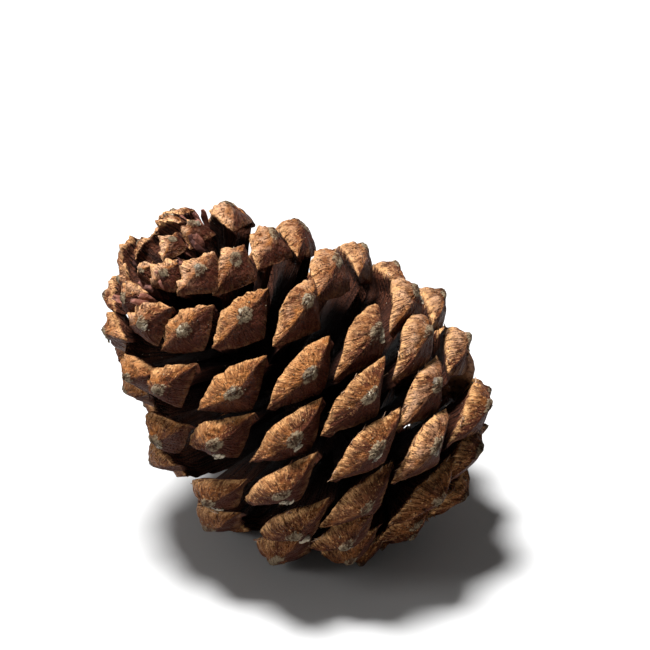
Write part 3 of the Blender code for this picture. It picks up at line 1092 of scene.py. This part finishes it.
FLAKE_COUNT = 90
HOLLOW_RADIUS = 10.5 * MM
HOLLOW_DEPTH = 12.0 * MM
HOLLOW_RISE = 5.5 * MM
FLAKE_STEPS = 6
FLAKE_COLUMNS = 4
FLAKE_RED = (0.045, 0.012, 0.008)
FLAKE_PINK = (0.240, 0.092, 0.062)


def make_flake():
    """A curled leaf of unit length, thick in the middle and narrow at both ends."""
    rings = []
    for step in range(FLAKE_STEPS + 1):
        share = step / FLAKE_STEPS
        width = 0.35 + 0.65 * math.sin(math.pi * min(share * 0.9 + 0.05, 1.0))
        curl = 0.45 * share ** 2
        front, back = [], []
        for column in range(FLAKE_COLUMNS + 1):
            across = 2 * column / FLAKE_COLUMNS - 1
            cup = 0.5 * across ** 2
            front.append((across * width, share, curl + cup + 0.16 * (1 - across ** 2)))
            back.append((across * width * 0.96, share, curl + cup - 0.10))
        rings.append(front + list(reversed(back)))
    return bit_mesh("flake", rings, 2 * (FLAKE_COLUMNS + 1), ((0, -0.02, 0.05), (0, 1.02, 0.5)))


def tip_bits():
    """Flakes that stand round the hollow, the outer ones longer and leaning outwards."""
    bits = []
    turn = LAID.to_3x3()
    for i in range(FLAKE_COUNT):
        angle, share = DIVERGENCE * i, (i / FLAKE_COUNT) ** 0.6
        out = Vector((math.cos(angle), math.sin(angle), 0))
        height = CONE_LENGTH - HOLLOW_DEPTH + HOLLOW_RISE * share
        spot = LAID @ (out * HOLLOW_RADIUS * share + Vector((0, 0, height)))
        way = turn @ (Vector((0, 0, 1)) + out * (0.55 * share + 0.35 * whim(i, 91)))
        length = (3.2 + 2.6 * abs(whim(i, 92))) * MM
        width = (0.7 + 0.5 * abs(whim(i, 93))) * MM
        across = turn @ (out.cross(Vector((0, 0, 1))) + out * whim(i, 94))
        along = way.normalized()
        right = (across - along * across.dot(along)).normalized()
        bits.append((spot, right * width, along * length, right.cross(along) * 1.3 * width, whim(i, 95)))
    return bits


flake = make_flake()
withered = plain_wood("withered_flake", (FLAKE_RED, FLAKE_PINK), 1.6 * MM, 0.75, 0.3)
FLAKE_SIZES = FIBRE_SIZES | {
    "Bit": flake,
    "Roughen Scale": 420.0,
    "Roughen Amount": 1.2 * MM,
    "Warp Amount": 0.0,
    "Material": withered,
}
grow("withered_flakes", sprinkle_guide("withered_flakes", tip_bits()), sprinkle_tree, FLAKE_SIZES)


# The torn seed wings.
# The seeds have flown, but a few of their thin brown wings are still caught among the lower scales, where
# the gaps are narrow. Each is a curled leaf of papery skin held by the blades on either side.

WING_BROWN = (0.060, 0.018, 0.008)
WING_PALE = (0.240, 0.105, 0.045)

# Foot and tip of each wing as the cone lies, and half its width, all in millimetres
WINGS = (
    ((28.6, 7.5, 25.0), (30.8, 3.4, 39.5), 3.9), ((25.5, 4.0, 27.0), (27.5, -3.0, 36.0), 2.4),
    ((20.0, 9.0, 24.0), (22.0, 1.0, 36.0), 2.6), ((26.0, -2.0, 14.0), (29.5, -9.0, 19.0), 2.2),
)


def wing_bits():
    """The wings, each with its broad side to the front."""
    bits = []
    for foot, tip, half in WINGS:
        along = (Vector(tip) - Vector(foot)) * MM
        right = along.cross(Vector((0, -1, 0))).normalized()
        lift = right.cross(along).normalized()
        bits.append((Vector(foot) * MM, right * half * MM, along, lift * 0.5 * half * MM, 0.3))
    return bits


papery = plain_wood("papery_wing", (WING_BROWN, WING_PALE), 1.2 * MM, 0.7, 0.3)
WING_SIZES = FLAKE_SIZES | {"Material": papery}
grow("torn_wings", sprinkle_guide("torn_wings", wing_bits()), sprinkle_tree, WING_SIZES)
bpy.data.objects.remove(flake)
